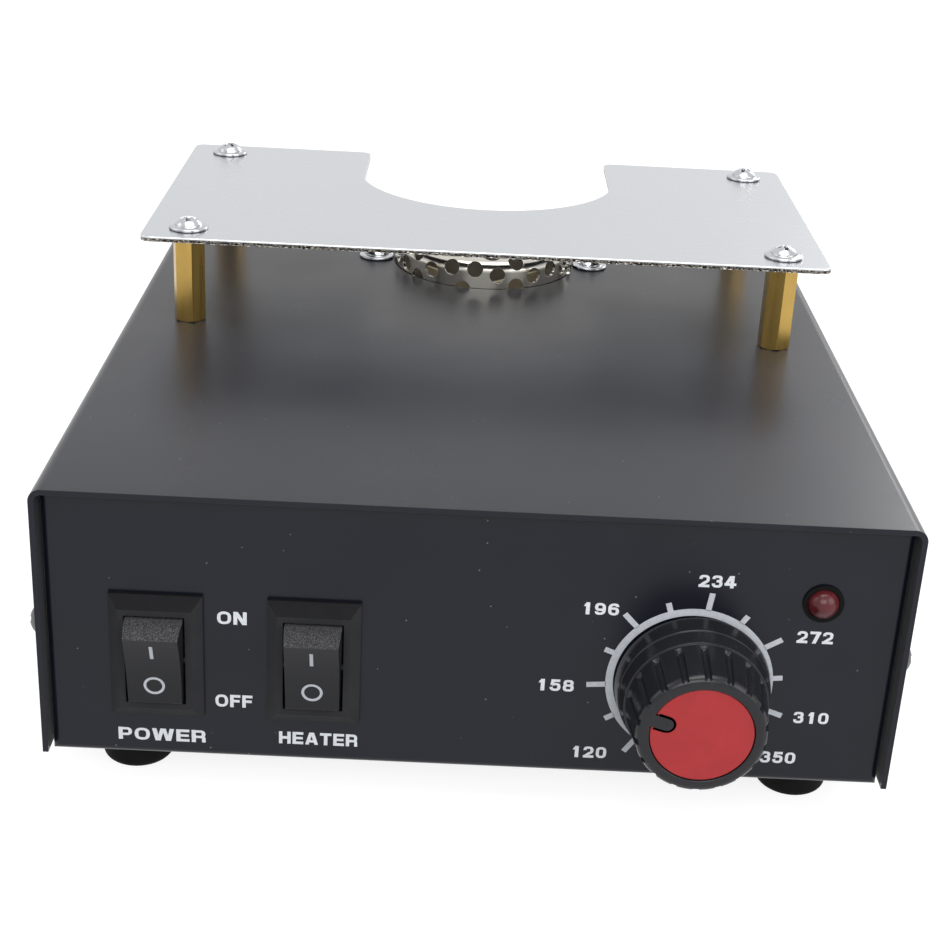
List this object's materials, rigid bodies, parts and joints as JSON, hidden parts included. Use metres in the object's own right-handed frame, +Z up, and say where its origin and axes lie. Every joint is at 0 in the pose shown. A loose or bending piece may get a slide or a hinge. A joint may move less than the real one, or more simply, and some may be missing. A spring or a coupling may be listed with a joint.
{
  "type": "pcb preheater",
  "caption": "Bench hot-air preheater for circuit boards: black sheet-metal case with rocker switches and a dial, a perforated outlet and a notched plate on brass pillars.",
  "frame": {"origin": "on the bench under the middle of the whole object's box", "axes": "+X to the right as the user faces the panel, +Y to the back, +Z up; the front panel faces -Y"},
  "size_m": [0.1424, 0.1727, 0.0747],
  "materials": {
    "painted_case": "satin black paint on steel sheet",
    "dark_screws": "blackened steel",
    "bright_screws": "bright zinc plate",
    "black_rubber": "matte",
    "plate_steel": "fine matte stainless sheet",
    "brass": "drawn hex bar",
    "perforated_steel": "pressed perforated stainless sheet",
    "tube_steel": "plain steel sheet",
    "mica": "mica card",
    "heating_wire": "oxidised resistance wire",
    "tinned_metal": "tinned brass",
    "fan_plastic": "moulded",
    "copper": "enamelled copper wire",
    "switch_plastic": "fine moulded grain",
    "rocker_plastic": "smooth face with rough ends",
    "control_metal": "zinc can and aluminium shaft",
    "knob_plastic": "polished",
    "cap_red": "satin",
    "lens_red": "clear tinted, unlit",
    "board_green": "solder resist",
    "aluminium": "extruded",
    "device_black": "moulded",
    "capacitor_blue": "sleeve",
    "block_green": "moulded",
    "fuse_glass": "clear",
    "core_steel": "varnished laminations",
    "winding_tape": "insulating tape",
    "inlet_plastic": "moulded"
  },
  "bodies": {
    "case": {"chassis": "painted_case", "cover": "painted_case", "cover_screws": "dark_screws", "rubber_feet": "black_rubber", "foot_screws": "bright_screws", "foot_nuts": "bright_screws", "support_plate": "plate_steel", "plate_screws": "bright_screws", "pillars": "brass", "pillar_screws": "bright_screws", "outlet_cup": "perforated_steel", "outlet_screws": "bright_screws", "outlet_nuts": "bright_screws", "heater_tube": "tube_steel", "heater_former": "mica", "heater_coil": "heating_wire", "temperature_sensor": "tinned_metal", "fan_frame": "fan_plastic", "fan_stator": "copper", "fan_screws": "bright_screws", "fan_nuts": "bright_screws", "power_switch_body": "switch_plastic", "heater_switch_body": "switch_plastic", "switch_terminals": "tinned_metal", "control_body": "control_metal", "control_nut": "tinned_metal", "lamp_holder": "switch_plastic", "lamp": "lens_red", "control_board": "board_green", "board_pillars": "brass", "board_screws": "bright_screws", "heat_sink": "aluminium", "triac": "device_black", "capacitors": "capacitor_blue", "terminal_block": "block_green", "fuse": "fuse_glass", "fuse_clips": "tinned_metal", "transformer_core": "core_steel", "transformer_winding": "winding_tape", "transformer_strap": "tube_steel", "transformer_screws": "bright_screws", "mains_inlet": "inlet_plastic", "inlet_pins": "tinned_metal", "inlet_screws": "bright_screws", "inlet_nuts": "bright_screws"},
    "power_rocker": {"power_rocker": "rocker_plastic"},
    "heater_rocker": {"heater_rocker": "rocker_plastic"},
    "knob": {"knob": "knob_plastic", "knob_cap": "cap_red", "control_shaft": "control_metal"},
    "fan": {"fan_impeller": "fan_plastic"}
  },
  "joints": [
    {"name": "power_switch", "type": "hinge", "parent": "case", "child": "power_rocker", "pos_m": [-0.0503, -0.07185, 0.0255], "axis": [-1, 0, 0], "range_deg": [0, 28]},
    {"name": "heater_switch", "type": "hinge", "parent": "case", "child": "heater_rocker", "pos_m": [-0.0252, -0.07185, 0.0255], "axis": [-1, 0, 0], "range_deg": [0, 28]},
    {"name": "temperature_dial", "type": "hinge", "parent": "case", "child": "knob", "pos_m": [0.0355, -0.07045, 0.0246], "axis": [0, -1, 0], "range_deg": [-233, 72]},
    {"name": "fan_spin", "type": "hinge", "parent": "case", "child": "fan", "pos_m": [0, 0.05415, 0.0174], "axis": [0, 0, 1], "continuous": true}
  ]
}
